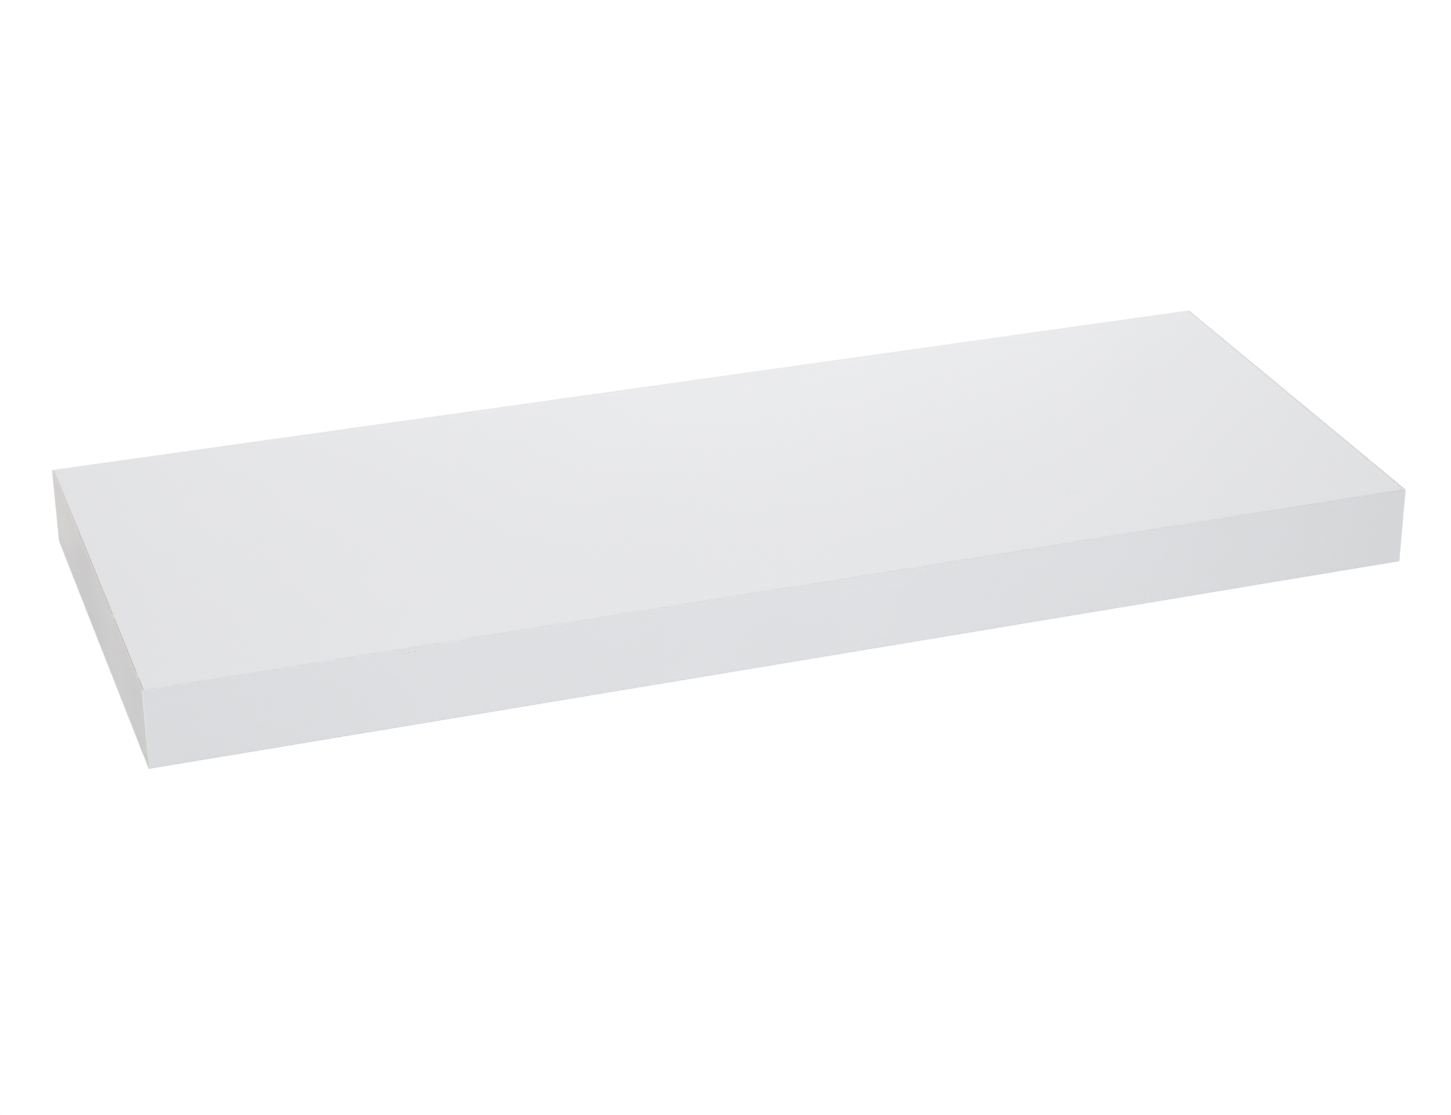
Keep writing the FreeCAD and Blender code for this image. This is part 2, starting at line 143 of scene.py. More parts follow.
def newGroup(name, inputs, outputs):
    tree = bpy.data.node_groups.new(name, "ShaderNodeTree")
    for label, value in inputs.items():
        socket = tree.interface.new_socket(label, in_out="INPUT", socket_type=socketKinds[type(value)])
        socket.default_value = value
    for label, kind in outputs.items():
        tree.interface.new_socket(label, in_out="OUTPUT", socket_type=socketKinds[kind])
    given = tree.nodes.new("NodeGroupInput").outputs
    wanted = tree.nodes.new("NodeGroupOutput").inputs
    return tree, given, wanted


def useGroup(tree, group, **inputs):
    return addNode(tree, "ShaderNodeGroup", inputs, node_tree=group).outputs


def newFinish(name, constants):
    material = bpy.data.materials.new(name)
    material.use_nodes = True
    tree = material.node_tree
    tree.nodes.clear()
    shader = addNode(tree, "ShaderNodeBsdfPrincipled", constants)
    addNode(tree, "ShaderNodeOutputMaterial", {"Surface": shader.outputs[0]})
    place = addNode(tree, "ShaderNodeTexCoord").outputs["Object"]
    return material, tree, shader.inputs, place


# Effects as node groups, which the finishes place with their own values

grainShape = {"slowScale": 0.018, "slowShare": 0.75}


def grainEffect():       # orange peel of a moulded or coated face, with a slow drift in tone
    inputs = {"Vector": Vector(), "Scale": 500.0}
    tree, given, out = newGroup("fineGrain", inputs, {"Height": float, "Tone": float})
    fine = noise(tree, given["Vector"], given["Scale"], detail=3.0)
    slow = noise(tree, given["Vector"], sums(tree, "MULTIPLY", given["Scale"], grainShape["slowScale"]))
    feed(tree, out, {"Height": fine, "Tone": blendValues(tree, grainShape["slowShare"], slow, fine)})
    return tree


fleckShape = {"smallest": 0.45, "core": 0.5}     # the least fleck's size, and a fleck's solid part


def fleckEffect():       # rare small specks, on the first two axes of the vector
    inputs = {"Vector": Vector(), "Spacing": 0.05, "Size": 0.0003, "Share": 0.3}
    tree, given, out = newGroup("rareFlecks", inputs, {"Mask": float})
    cells = addNode(tree, "ShaderNodeTexVoronoi", {
        "Vector": given["Vector"], "Scale": sums(tree, "DIVIDE", 1.0, given["Spacing"]),
    }, voronoi_dimensions="2D").outputs
    chance = chances(tree, cells["Color"])
    away = sums(tree, "MULTIPLY", cells["Distance"], given["Spacing"])
    size = sums(tree, "MULTIPLY", given["Size"], ramp(tree, chance[1], 0.0, 1.0, fleckShape["smallest"], 1.0))
    spot = ramp(tree, sums(tree, "DIVIDE", away, size), fleckShape["core"], 1.0, 1.0, 0.0)
    present = sums(tree, "LESS_THAN", chance[0], given["Share"])
    feed(tree, out, {"Mask": sums(tree, "MULTIPLY", spot, present)})
    return tree


seamShape = {
    "slowScale": 70.0, "slowShare": 0.8, "quickScale": 520.0, "widths": (0.85, 1.15), "core": 0.55,
    "dashEnd": (-0.06, 0.08),
}


def seamEffect():        # an uneven line along a joint, broken into dashes
    inputs = {"Distance": 0.0, "Width": 0.0003, "Along": 0.0, "Gaps": 0.4}
    tree, given, out = newGroup("seamLine", inputs, {"Mask": float})
    slow = noiseAlong(tree, given["Along"], seamShape["slowScale"])
    quick = noiseAlong(tree, given["Along"], seamShape["quickScale"], detail=3.0)
    width = sums(tree, "MULTIPLY", given["Width"], ramp(tree, quick, *noiseSpan, *seamShape["widths"]))
    away = sums(tree, "DIVIDE", sums(tree, "ABSOLUTE", given["Distance"]), width)
    line = ramp(tree, away, seamShape["core"], 1.0, 1.0, 0.0)
    both = blendValues(tree, seamShape["slowShare"], slow, quick)
    dashes = ramp(tree, sums(tree, "SUBTRACT", both, given["Gaps"]), *seamShape["dashEnd"])
    feed(tree, out, {"Mask": sums(tree, "MULTIPLY", line, dashes)})
    return tree


spotShape = {"core": 0.35}


def spotEffect():        # one small mark at a given place on a flat face
    inputs = {"Across": 0.0, "Up": 0.0, "AtAcross": 0.0, "AtUp": 0.0, "Size": 0.0003}
    tree, given, out = newGroup("smallSpot", inputs, {"Mask": float})
    sideways = sums(tree, "SUBTRACT", given["Across"], given["AtAcross"])
    upright = sums(tree, "SUBTRACT", given["Up"], given["AtUp"])
    squares = sums(tree, "MULTIPLY_ADD", sideways, sideways, sums(tree, "MULTIPLY", upright, upright))
    apart = sums(tree, "DIVIDE", sums(tree, "SQRT", squares), given["Size"])
    feed(tree, out, {"Mask": ramp(tree, apart, spotShape["core"], 1.0, 1.0, 0.0)})
    return tree


rubShape = {"patchScale": 90.0, "reach": (0.75, 1.1)}


def rubEffect():         # wear that follows the bevelled edges and breaks up along them
    inputs = {"Vector": Vector(), "Edge": 0.0, "Amount": 0.5}
    tree, given, out = newGroup("edgeRub", inputs, {"Mask": float})
    patches = noise(tree, given["Vector"], rubShape["patchScale"], detail=4.0)
    reach = ramp(tree, sums(tree, "ADD", patches, given["Amount"]), *rubShape["reach"])
    feed(tree, out, {"Mask": sums(tree, "MULTIPLY", given["Edge"], reach)})
    return tree


flakeShape = {
    "swirlScale": 0.45, "swirlReach": 2.2, "dustScale": 5.0, "dustHeight": 0.3, "dustHidden": 0.7,
    "layers": (          # length and height of a chip in units of Size, and how many cells hold one
        (2.6, 0.8, 0.75), (1.5, 0.55, 0.7), (0.9, 0.4, 0.6), (0.45, 0.25, 0.5),
    ),
    "chipEdge": (0.38, 0.5), "chipCover": 0.7, "chipHeight": 0.3,
    "palest": 0.9, "darkFrom": 0.7, "darkest": 0.7,
    # the pits are darkened: painted shade in the hollows
    "pitScale": 1.3, "pitEdge": (0.3, 0.4), "pitShade": 0.75,
}


def flakeEffect():       # pressed wood: layers of flat chips lying along X, over dust, with a few pits
    inputs = {
        "Vector": Vector(), "Size": 0.003,
        "Dark": (0.2, 0.12, 0.06, 1.0), "Middle": (0.46, 0.32, 0.18, 1.0), "Pale": (0.66, 0.5, 0.32, 1.0),
    }
    tree, given, out = newGroup("pressedFlakes", inputs, {"Color": tuple, "Height": float})
    scale = sums(tree, "DIVIDE", 1.0, given["Size"])
    swirl = addNode(tree, "ShaderNodeTexNoise", {
        "Vector": given["Vector"], "Scale": sums(tree, "MULTIPLY", scale, flakeShape["swirlScale"]),
    }).outputs["Color"]
    push = addNode(tree, "ShaderNodeVectorMath", {
        0: swirl, "Scale": sums(tree, "MULTIPLY", given["Size"], flakeShape["swirlReach"]),
    }, operation="SCALE").outputs[0]
    bent = addNode(tree, "ShaderNodeVectorMath", {0: given["Vector"], 1: push}).outputs[0]
    dust = noise(tree, given["Vector"], sums(tree, "MULTIPLY", scale, flakeShape["dustScale"]), detail=3.0)
    color = mixColors(tree, ramp(tree, dust, *noiseSpan), given["Dark"], given["Pale"])
    color = mixColors(tree, flakeShape["dustHidden"], color, given["Middle"])
    height = sums(tree, "MULTIPLY", dust, flakeShape["dustHeight"])
    for length, depth, share in flakeShape["layers"]:
        chips = addNode(tree, "ShaderNodeTexVoronoi", {
            "Vector": stretched(tree, bent, (1 / length, 1 / length, 1 / depth)), "Scale": scale,
        }).outputs
        chance = chances(tree, chips["Color"])
        body = sums(
            tree, "MULTIPLY", ramp(tree, chips["Distance"], *flakeShape["chipEdge"], 1.0, 0.0),
            sums(tree, "LESS_THAN", chance[1], share),
        )
        paler = ramp(tree, chance[0], 0.0, flakeShape["palest"])
        darker = ramp(tree, chance[2], flakeShape["darkFrom"], 1.0, 0.0, flakeShape["darkest"])
        tone = mixColors(tree, paler, given["Middle"], given["Pale"])
        tone = mixColors(tree, darker, tone, given["Dark"])
        color = mixColors(tree, sums(tree, "MULTIPLY", body, flakeShape["chipCover"]), color, tone)
        lift = sums(tree, "MULTIPLY", chance[0], flakeShape["chipHeight"])
        height = sums(tree, "MULTIPLY_ADD", body, lift, height)
    # pits sink the surface and darken its colour: painted shade in the hollows
    hollows = noise(tree, bent, sums(tree, "MULTIPLY", scale, flakeShape["pitScale"]), detail=4.0)
    pits = ramp(tree, hollows, *flakeShape["pitEdge"], 1.0, 0.0)
    feed(tree, out, {
        "Color": mixColors(tree, sums(tree, "MULTIPLY", pits, flakeShape["pitShade"]), color, given["Dark"]),
        "Height": sums(tree, "SUBTRACT", height, pits),
    })
    return tree


metalShape = {
    "blotchScale": 60.0, "scratchScale": 2.7, "scratchEdge": (0.66, 0.72), "scratchDepth": 0.4,
    "lineTone": 0.5, "blotchRough": 0.7,
}


def metalEffect():       # drawing lines, blotches and fine scratches of bare or plated metal
    inputs = {"Vector": Vector(), "Lines": Vector()}
    tree, given, out = newGroup("metalMarks", inputs, {"Tone": float, "Rough": float, "Height": float})
    lines = noise(tree, given["Lines"], 1.0, detail=4.0)
    blotches = noise(tree, given["Vector"], metalShape["blotchScale"], detail=4.0)
    fine = noise(tree, given["Lines"], metalShape["scratchScale"], detail=1.0)
    scratches = ramp(tree, fine, *metalShape["scratchEdge"])
    cuts = sums(tree, "MULTIPLY", scratches, metalShape["scratchDepth"])
    feed(tree, out, {
        "Tone": blendValues(tree, metalShape["lineTone"], lines, blotches),
        "Rough": blendValues(tree, metalShape["blotchRough"], blotches, scratches),
        "Height": sums(tree, "SUBTRACT", lines, cuts),
    })
    return tree


fineGrain, rareFlecks, seamLine, smallSpot = grainEffect(), fleckEffect(), seamEffect(), spotEffect()
edgeRub, pressedFlakes, metalMarks = rubEffect(), flakeEffect(), metalEffect()
print("effects:", len(bpy.data.node_groups))


# White faces of the board

skinLow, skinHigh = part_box("top_skin")           # the bands begin where the skins end
bandLow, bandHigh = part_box("front_edge_band")

faceLook = {
    "white": (0.803, 0.806, 0.822, 1), "drift": (0.786, 0.789, 0.806, 1), "specular": 0.4,
    "rough": (0.5, 0.62), "grainScale": 420.0, "grainDepth": 0.012 * mm, "grainStrength": 0.6,
    "fleck": (0.36, 0.33, 0.3, 1), "fleckSpacing": 70 * mm, "fleckSize": 0.28 * mm, "fleckShare": 0.35,
    "fleckDepth": 0.6,
    "marks": (           # x and y in mm, and depth, of the small dark marks on the top
        (151.2, -185.9, 0.95), (149.9, -180.7, 0.75), (121.8, -214.2, 0.6), (81.3, -131.8, 0.5),
        (93.9, -192.1, 0.5),
    ),
    "markSize": 0.34 * mm,
    "glue": {"front": (0.73, 0.7, 0.65, 1), "left": (0.55, 0.48, 0.42, 1), "right": (0.63, 0.63, 0.62, 1)},
    "gaps": {"front": 0.38, "left": 0.36, "right": 0.3}, "glueWidth": 0.28 * mm,
}
seamFade = {             # from and to, and how much of the seam shows at either
    "toWall": (-100 * mm, -8 * mm, 1.0, 0.25), "toRight": (-80 * mm, 100 * mm, 0.9, 0.3),
}


def addMarks(tree, color, across, up, look):
    for atAcross, atUp, depth in look["marks"]:
        spot = useGroup(
            tree, smallSpot, Across=across, Up=up, AtAcross=atAcross * mm, AtUp=atUp * mm,
            Size=look["markSize"],
        )["Mask"]
        color = mixColors(tree, sums(tree, "MULTIPLY", spot, depth), color, look["fleck"])
    return color


def faceFinish():
    look = faceLook
    material, tree, shader, place = newFinish("whiteFace", {"Specular IOR Level": look["specular"]})
    grain = useGroup(tree, fineGrain, Vector=place, Scale=look["grainScale"])
    flecks = useGroup(
        tree, rareFlecks, Vector=place, Spacing=look["fleckSpacing"], Size=look["fleckSize"],
        Share=look["fleckShare"],
    )["Mask"]
    x, y, z = axes(tree, place)
    color = mixColors(tree, ramp(tree, grain["Tone"], *noiseSpan), look["drift"], look["white"])
    color = mixColors(tree, sums(tree, "MULTIPLY", flecks, look["fleckDepth"]), color, look["fleck"])
    topX = sums(tree, "ADD", x, sums(tree, "LESS_THAN", z, 0.0))     # a metre off on the underside
    color = addMarks(tree, color, topX, y, look)
    seams = {                # distance from the seam, the way along it, and how much of it shows
        "front": (sums(tree, "SUBTRACT", y, skinLow.y), x, ramp(tree, x, *seamFade["toRight"])),
        "left": (sums(tree, "SUBTRACT", x, skinLow.x), y, ramp(tree, y, *seamFade["toWall"])),
        "right": (sums(tree, "SUBTRACT", skinHigh.x, x), y, 1.0),
    }
    for side, (distance, along, share) in seams.items():
        line = useGroup(
            tree, seamLine, Distance=distance, Width=look["glueWidth"], Along=along, Gaps=look["gaps"][side],
        )["Mask"]
        color = mixColors(tree, sums(tree, "MULTIPLY", line, share), color, look["glue"][side])
    feed(tree, shader, {
        "Base Color": color, "Roughness": ramp(tree, grain["Tone"], *wideSpan, *look["rough"]),
        "Normal": bump(tree, grain["Height"], look["grainDepth"], look["grainStrength"]),
    })
    return material


# White plastic bands; the tint and the marks differ a little from band to band

bandLook = {
    "specular": 0.42, "rough": (0.36, 0.5), "arrisGloss": 0.12, "rollShare": 0.2,
    "grainScale": 900.0, "grainDepth": 0.01 * mm, "grainStrength": 0.6,
    # where the painted shade of the lower arris begins, and how strong it is
    "footShadeStart": 0.3 * mm, "footShadeShare": 0.8,
}
frontBandLook = {
    "white": (0.79, 0.8, 0.821, 1), "drift": (0.774, 0.785, 0.806, 1), "rolling": (6, 400, 700),
    # rim: painted shade on the upper arris
    "rim": (0.74, 0.747, 0.77, 1), "rimShadeHeight": 0.55 * mm,
    # foot: painted shade on the lower arris, with a bluish tint
    "foot": (0.69, 0.765, 0.81, 1), "footShadeHeight": 0.75 * mm,
    "glue": (0.72, 0.695, 0.65, 1), "glueReach": 0.42 * mm, "gaps": 0.38,
    # lighter cut ends: a painted highlight on the arrises where the front band ends
    "cutEndHighlight": (0.9, 0.905, 0.9, 1), "cutEndHighlightReach": (0.8 * mm, 0.05 * mm),
    "fleck": (0.3, 0.29, 0.28, 1),
    "marks": (           # x and z in mm, and depth, of the small nicks in the front
        (-250.7, -6.6, 0.25), (-274, -16.6, 0.35), (-186, 17, 0.42), (-183.8, 17.1, 0.45),
        (-181.1, 17.1, 0.6), (53.8, 15.6, 0.35), (192.1, -15.2, 0.4), (216.5, -3.6, 0.2),
    ),
    "markSize": 0.34 * mm,
}
leftBandLook = {
    "white": (0.807, 0.791, 0.798, 1), "drift": (0.79, 0.774, 0.782, 1), "rolling": (400, 6, 700),
    # rim: painted shade on the upper arris
    "rim": (0.735, 0.708, 0.7, 1), "rimShadeHeight": 0.5 * mm,
    # foot: painted shade, darker towards the bottom edge
    "foot": (0.6, 0.592, 0.588, 1), "footShadeHeight": 1.9 * mm,
    "glue": (0.64, 0.55, 0.48, 1), "glueReach": 0.34 * mm, "gaps": 0.34,
}
# the right band's rim colour is painted shade on its upper arris
rightBandLook = {**leftBandLook, "rim": (0.78, 0.775, 0.775, 1), "glue": (0.7, 0.7, 0.69, 1)}


def bandBase(name, look):
    material, tree, shader, place = newFinish(name, {"Specular IOR Level": bandLook["specular"]})
    grain = useGroup(tree, fineGrain, Vector=place, Scale=bandLook["grainScale"])
    rolled = noise(tree, stretched(tree, place, look["rolling"]), 1.0, detail=3.0)   # lines along the band
    tone = blendValues(tree, bandLook["rollShare"], rolled, grain["Tone"])
    color = mixColors(tree, ramp(tree, tone, *noiseSpan), look["drift"], look["white"])
    x, y, z = axes(tree, place)
    # the upper arris is painted a little darker than the face, and the lower one darker again: painted shade
    # on both arrises, tinted bluish on the front band's lower one
    # painted shade along the upper arris
    rim = ramp(tree, sums(tree, "SUBTRACT", bandHigh.z, z), 0.0, look["rimShadeHeight"], 1.0, 0.0)
    color = mixColors(tree, rim, color, look["rim"])
    # painted shade towards the lower arris
    fromFoot = sums(tree, "SUBTRACT", z, bandLow.z)
    foot = ramp(tree, fromFoot, bandLook["footShadeStart"], look["footShadeHeight"], bandLook["footShadeShare"], 0.0)
    color = mixColors(tree, foot, color, look["foot"])
    shine = sums(tree, "MULTIPLY", edgeMask(tree), bandLook["arrisGloss"])       # a trimmed arris is glossier
    feed(tree, shader, {
        "Roughness": sums(tree, "SUBTRACT", ramp(tree, tone, *wideSpan, *bandLook["rough"]), shine),
        "Normal": bump(tree, grain["Height"], bandLook["grainDepth"], bandLook["grainStrength"]),
    })
    return material, tree, shader, (x, y, z), color


def frontBandFinish():
    look = frontBandLook
    material, tree, shader, (x, y, z), color = bandBase("frontBand", look)
    # the band's cut ends are painted lighter: a painted highlight
    highlightStart, highlightFull = (bandHigh.x - reach for reach in look["cutEndHighlightReach"])
    color = mixColors(tree, ramp(tree, sums(tree, "ABSOLUTE", x), highlightStart, highlightFull), color, look["cutEndHighlight"])
    # glue that bled on to the top edge, next to the white face
    bleed = useGroup(
        tree, seamLine, Distance=sums(tree, "SUBTRACT", y, skinLow.y), Width=look["glueReach"], Along=x,
        Gaps=look["gaps"],
    )["Mask"]
    bleed = sums(tree, "MULTIPLY", bleed, ramp(tree, x, *seamFade["toRight"]))
    bleed = sums(tree, "MULTIPLY", bleed, sums(tree, "GREATER_THAN", z, 0.0))
    color = mixColors(tree, bleed, color, look["glue"])
    feed(tree, shader, {"Base Color": addMarks(tree, color, x, z, look)})
    return material


def endBandFinish(name, look):
    material, tree, shader, (x, y, _), color = bandBase(name, look)
    inset = sums(tree, "SUBTRACT", sums(tree, "ABSOLUTE", x), skinHigh.x)
    bleed = useGroup(
        tree, seamLine, Distance=inset, Width=look["glueReach"], Along=y, Gaps=look["gaps"],
    )["Mask"]
    bleed = sums(tree, "MULTIPLY", bleed, ramp(tree, y, *seamFade["toWall"]))
    feed(tree, shader, {"Base Color": mixColors(tree, bleed, color, look["glue"])})
    return material


# Raw board, paper and metal

rawBoard = {"specular": 0.25, "rub": 0.45, "rubDark": 0.6}
boardLooks = {
    "rawFibreboard": {
        "dark": (0.26, 0.17, 0.09, 1), "middle": (0.4, 0.28, 0.17, 1), "pale": (0.5, 0.37, 0.24, 1),
        "size": 0.5 * mm, "squash": (1, 1, 1.3), "rough": 0.85, "depth": 0.02 * mm,
    },
    "chipboard": {
        "dark": (0.2, 0.12, 0.06, 1), "middle": (0.48, 0.34, 0.2, 1), "pale": (0.68, 0.53, 0.35, 1),
        "size": 2.2 * mm, "squash": (1, 1, 1), "rough": 0.8, "depth": 0.12 * mm,
    },
}


def boardFinish(name):
    look = boardLooks[name]
    constants = {"Specular IOR Level": rawBoard["specular"], "Roughness": look["rough"]}
    material, tree, shader, place = newFinish(name, constants)
    flakes = useGroup(
        tree, pressedFlakes, Vector=stretched(tree, place, look["squash"]), Size=look["size"],
        Dark=look["dark"], Middle=look["middle"], Pale=look["pale"],
    )
    worn = useGroup(tree, edgeRub, Vector=place, Edge=edgeMask(tree), Amount=rawBoard["rub"])["Mask"]
    darker = sums(tree, "MULTIPLY", worn, rawBoard["rubDark"])
    feed(tree, shader, {
        "Base Color": mixColors(tree, darker, flakes["Color"], look["dark"]),
        "Normal": bump(tree, flakes["Height"], look["depth"]),
    })
    return material


paperLook = {
    "pale": (0.52, 0.38, 0.24, 1), "dark": (0.36, 0.25, 0.14, 1), "specular": 0.2, "rough": (0.75, 0.9),
    "fibres": (900, 900, 250), "fibreShare": 0.6, "fibreDepth": 0.02 * mm, "grainScale": 1500.0,
}


def paperFinish():
    look = paperLook
    material, tree, shader, place = newFinish("kraftPaper", {"Specular IOR Level": look["specular"]})
    fibres = noise(tree, stretched(tree, place, look["fibres"]), 1.0, detail=4.0)
    grain = useGroup(tree, fineGrain, Vector=place, Scale=look["grainScale"])
    tone = blendValues(tree, look["fibreShare"], fibres, grain["Tone"])
    feed(tree, shader, {
        "Base Color": mixColors(tree, ramp(tree, tone, *noiseSpan), look["dark"], look["pale"]),
        "Roughness": ramp(tree, fibres, *noiseSpan, *look["rough"]),
        "Normal": bump(tree, fibres, look["fibreDepth"]),
    })
    return material


metalWork = {"roughSpan": (0.2, 0.75), "markDepth": 0.01 * mm, "markStrength": 0.5}
metalLooks = {
    "zincSteel": {
        "bright": (0.56, 0.575, 0.59, 1), "dull": (0.4, 0.415, 0.43, 1), "worn": (0.68, 0.69, 0.7, 1),
        "rough": (0.28, 0.46), "lines": (9, 500, 900), "rub": 0.5,
    },
    "rodSteel": {
        "bright": (0.58, 0.595, 0.61, 1), "dull": (0.44, 0.455, 0.47, 1), "worn": (0.68, 0.69, 0.7, 1),
        "rough": (0.22, 0.4), "lines": (800, 12, 800), "rub": 0.5,
    },
    "weldMetal": {
        "bright": (0.44, 0.44, 0.45, 1), "dull": (0.22, 0.21, 0.21, 1), "worn": (0.56, 0.55, 0.53, 1),
        "rough": (0.34, 0.56), "lines": (260, 260, 260), "rub": 0.4,
    },
    "blackSteel": {
        "bright": (0.075, 0.075, 0.08, 1), "dull": (0.035, 0.034, 0.036, 1), "worn": (0.3, 0.29, 0.28, 1),
        "rough": (0.34, 0.52), "lines": (300, 300, 1600), "rub": 0.35,
    },
    "insertMetal": {
        "bright": (0.76, 0.6, 0.33, 1), "dull": (0.56, 0.42, 0.2, 1), "worn": (0.84, 0.7, 0.44, 1),
        "rough": (0.25, 0.42), "lines": (700, 700, 300), "rub": 0.5,
    },
    "stapleWire": {
        "bright": (0.68, 0.68, 0.68, 1), "dull": (0.48, 0.48, 0.48, 1), "worn": (0.76, 0.76, 0.75, 1),
        "rough": (0.3, 0.48), "lines": (300, 300, 300), "rub": 0.5,
    },
}


def metalFinish(name):
    look = metalLooks[name]
    material, tree, shader, place = newFinish(name, {"Metallic": 1.0})
    marks = useGroup(tree, metalMarks, Vector=place, Lines=stretched(tree, place, look["lines"]))
    worn = useGroup(tree, edgeRub, Vector=place, Edge=edgeMask(tree), Amount=look["rub"])["Mask"]
    color = mixColors(tree, ramp(tree, marks["Tone"], *noiseSpan), look["dull"], look["bright"])
    feed(tree, shader, {
        "Base Color": mixColors(tree, worn, color, look["worn"]),
        "Roughness": ramp(tree, marks["Rough"], *metalWork["roughSpan"], *look["rough"]),
        "Normal": bump(tree, marks["Height"], metalWork["markDepth"], metalWork["markStrength"]),
    })
    return material


whiteFace, frontBand = faceFinish(), frontBandFinish()
leftBand, rightBand = endBandFinish("leftBand", leftBandLook), endBandFinish("rightBand", rightBandLook)
rawFibre, chipboard, kraftPaper = boardFinish("rawFibreboard"), boardFinish("chipboard"), paperFinish()
metals = {name: metalFinish(name) for name in metalLooks}
print("finishes done, with", len(metals), "metals")


# Pieces

meshCare = {
    "tiny": 0.001 * mm, "merge": 0.002 * mm, "same": 0.01 * mm,
    "flat": math.radians(1), "crisp": math.radians(30),
}


def finishPiece(name, bm, finishes, node, sharpAngle=32):
    mesh = bpy.data.meshes.new(name)
    bm.to_mesh(mesh)
    bm.free()
    for finish in finishes:
        mesh.materials.append(finish)
    mesh.shade_smooth()
    mesh.set_sharp_from_angle(angle=math.radians(sharpAngle))
    piece = bpy.data.objects.new(name, mesh)
    scene.collection.objects.link(piece)
    piece.modifiers.new("evenShading", "WEIGHTED_NORMAL").keep_sharp = True
    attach(piece, frame["nodes"][node]["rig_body"])
    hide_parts(node)
    print("  ", name, len(mesh.polygons), "faces")


def startMesh(source=None):
    bm = bmesh.new()
    if source:
        bm.from_mesh(source)
    bm.faces.layers.float.new("edge")        # 1 on trimmed or rubbed edges, which the finishes read
    return bm


def copyNode(node):
    bm = startMesh(frame["nodes"][node].data)
    bmesh.ops.remove_doubles(bm, verts=bm.verts, dist=meshCare["merge"])
    bmesh.ops.dissolve_limit(bm, angle_limit=meshCare["flat"], verts=bm.verts, edges=bm.edges)
    return bm


def markEdge(bm, faces):
    layer = bm.faces.layers.float["edge"]
    for face in faces:
        face[layer] = 1.0


def soften(bm, edges, width, segments=2):
    made = bmesh.ops.bevel(
        bm, geom=edges, offset=width, offset_type="OFFSET", affect="EDGES", segments=segments, profile=0.5,
        clamp_overlap=True, material=-1,
    )
    markEdge(bm, made["faces"])


def crispEdges(bm):
    return [
        e for e in bm.edges
        if e.is_manifold and e.is_convex and e.calc_face_angle(0) > meshCare["crisp"]
    ]


# The two skins: white outside, bare fibreboard on the cut edges and inside

skin = {"cutEdge": 0.1 * mm, "coat": 0.15 * mm, "facing": 0.3}

for name, node, side in (("topFace", "top_skin", 1), ("bottomFace", "bottom_skin", -1)):
    low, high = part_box(node)
    coated = max(high.z * side, low.z * side) - skin["coat"]
    bm = copyNode(node)
    soften(bm, crispEdges(bm), skin["cutEdge"], 1)
    for face in bm.faces:
        white = face.calc_center_median().z * side > coated and face.normal.z * side > skin["facing"]
        face.material_index = 0 if white else 1
    finishPiece(name, bm, (whiteFace, rawFibre), node, sharpAngle=60)


# The bands: flat strips with a rolled arris on the outer edges

band = {"arris": 0.4 * mm, "segments": 4, "innerEdge": 0.06 * mm, "joint": 0.5 * mm, "facing": 0.9}

bands = (
    ("frontBandStrip", "front_edge_band", Vector((0, -1, 0)), frontBand),
    ("leftBandStrip", "left_edge_band", Vector((-1, 0, 0)), leftBand),
    ("rightBandStrip", "right_edge_band", Vector((1, 0, 0)), rightBand),
)
for name, node, outward, finish in bands:
    low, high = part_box(node)
    bm = startMesh()
    bmesh.ops.create_cube(bm, size=1)
    bmesh.ops.scale(bm, vec=high - low, verts=bm.verts)
    bmesh.ops.translate(bm, vec=(low + high) / 2, verts=bm.verts)
    outer = next(f for f in bm.faces if f.normal.dot(outward) > band["facing"])
    inner = next(f for f in bm.faces if f.normal.dot(outward) < -band["facing"])
    rim, back = list(outer.edges), list(inner.edges)
    if finish is not frontBand:              # an end band stays square where it meets the front band
        rim = [e for e in rim if (e.verts[0].co.y + e.verts[1].co.y) / 2 > low.y + band["joint"]]
    soften(bm, rim, band["arris"], band["segments"])
    soften(bm, [e for e in back if e.is_valid], band["innerEdge"], 1)
    finishPiece(name, bm, (finish,), node, sharpAngle=50)


# Chipboard rails and rod blocks, sawn square

sawn = {"edge": 0.25 * mm}

sawnPieces = (
    ("frontRail", "front_rail"), ("leftEndRail", "left_end_rail"), ("rightEndRail", "right_end_rail"),
    ("backRail", "back_rail"), ("leftRodBlock", "left_rod_block"), ("rightRodBlock", "right_rod_block"),
)
for name, node in sawnPieces:
    bm = copyNode(node)
    soften(bm, crispEdges(bm), sawn["edge"])
    finishPiece(name, bm, (chipboard,), node)


# Staples of the frame, and the core, which keeps its own solid

staple = {"edge": 0.16 * mm}

bm = copyNode("corner_staples")
soften(bm, crispEdges(bm), staple["edge"])
finishPiece("frameStaples", bm, (metals["stapleWire"],), "corner_staples")
frame["nodes"]["honeycomb_core"].material_slots[0].material = kraftPaper


# Bracket: strip, turned rods and the weld at each rod's foot

strip = {"edge": 0.3 * mm}

bm = copyNode("wall_strip")
soften(bm, crispEdges(bm), strip["edge"])
finishPiece("wallStrip", bm, (metals["zincSteel"],), "wall_strip")

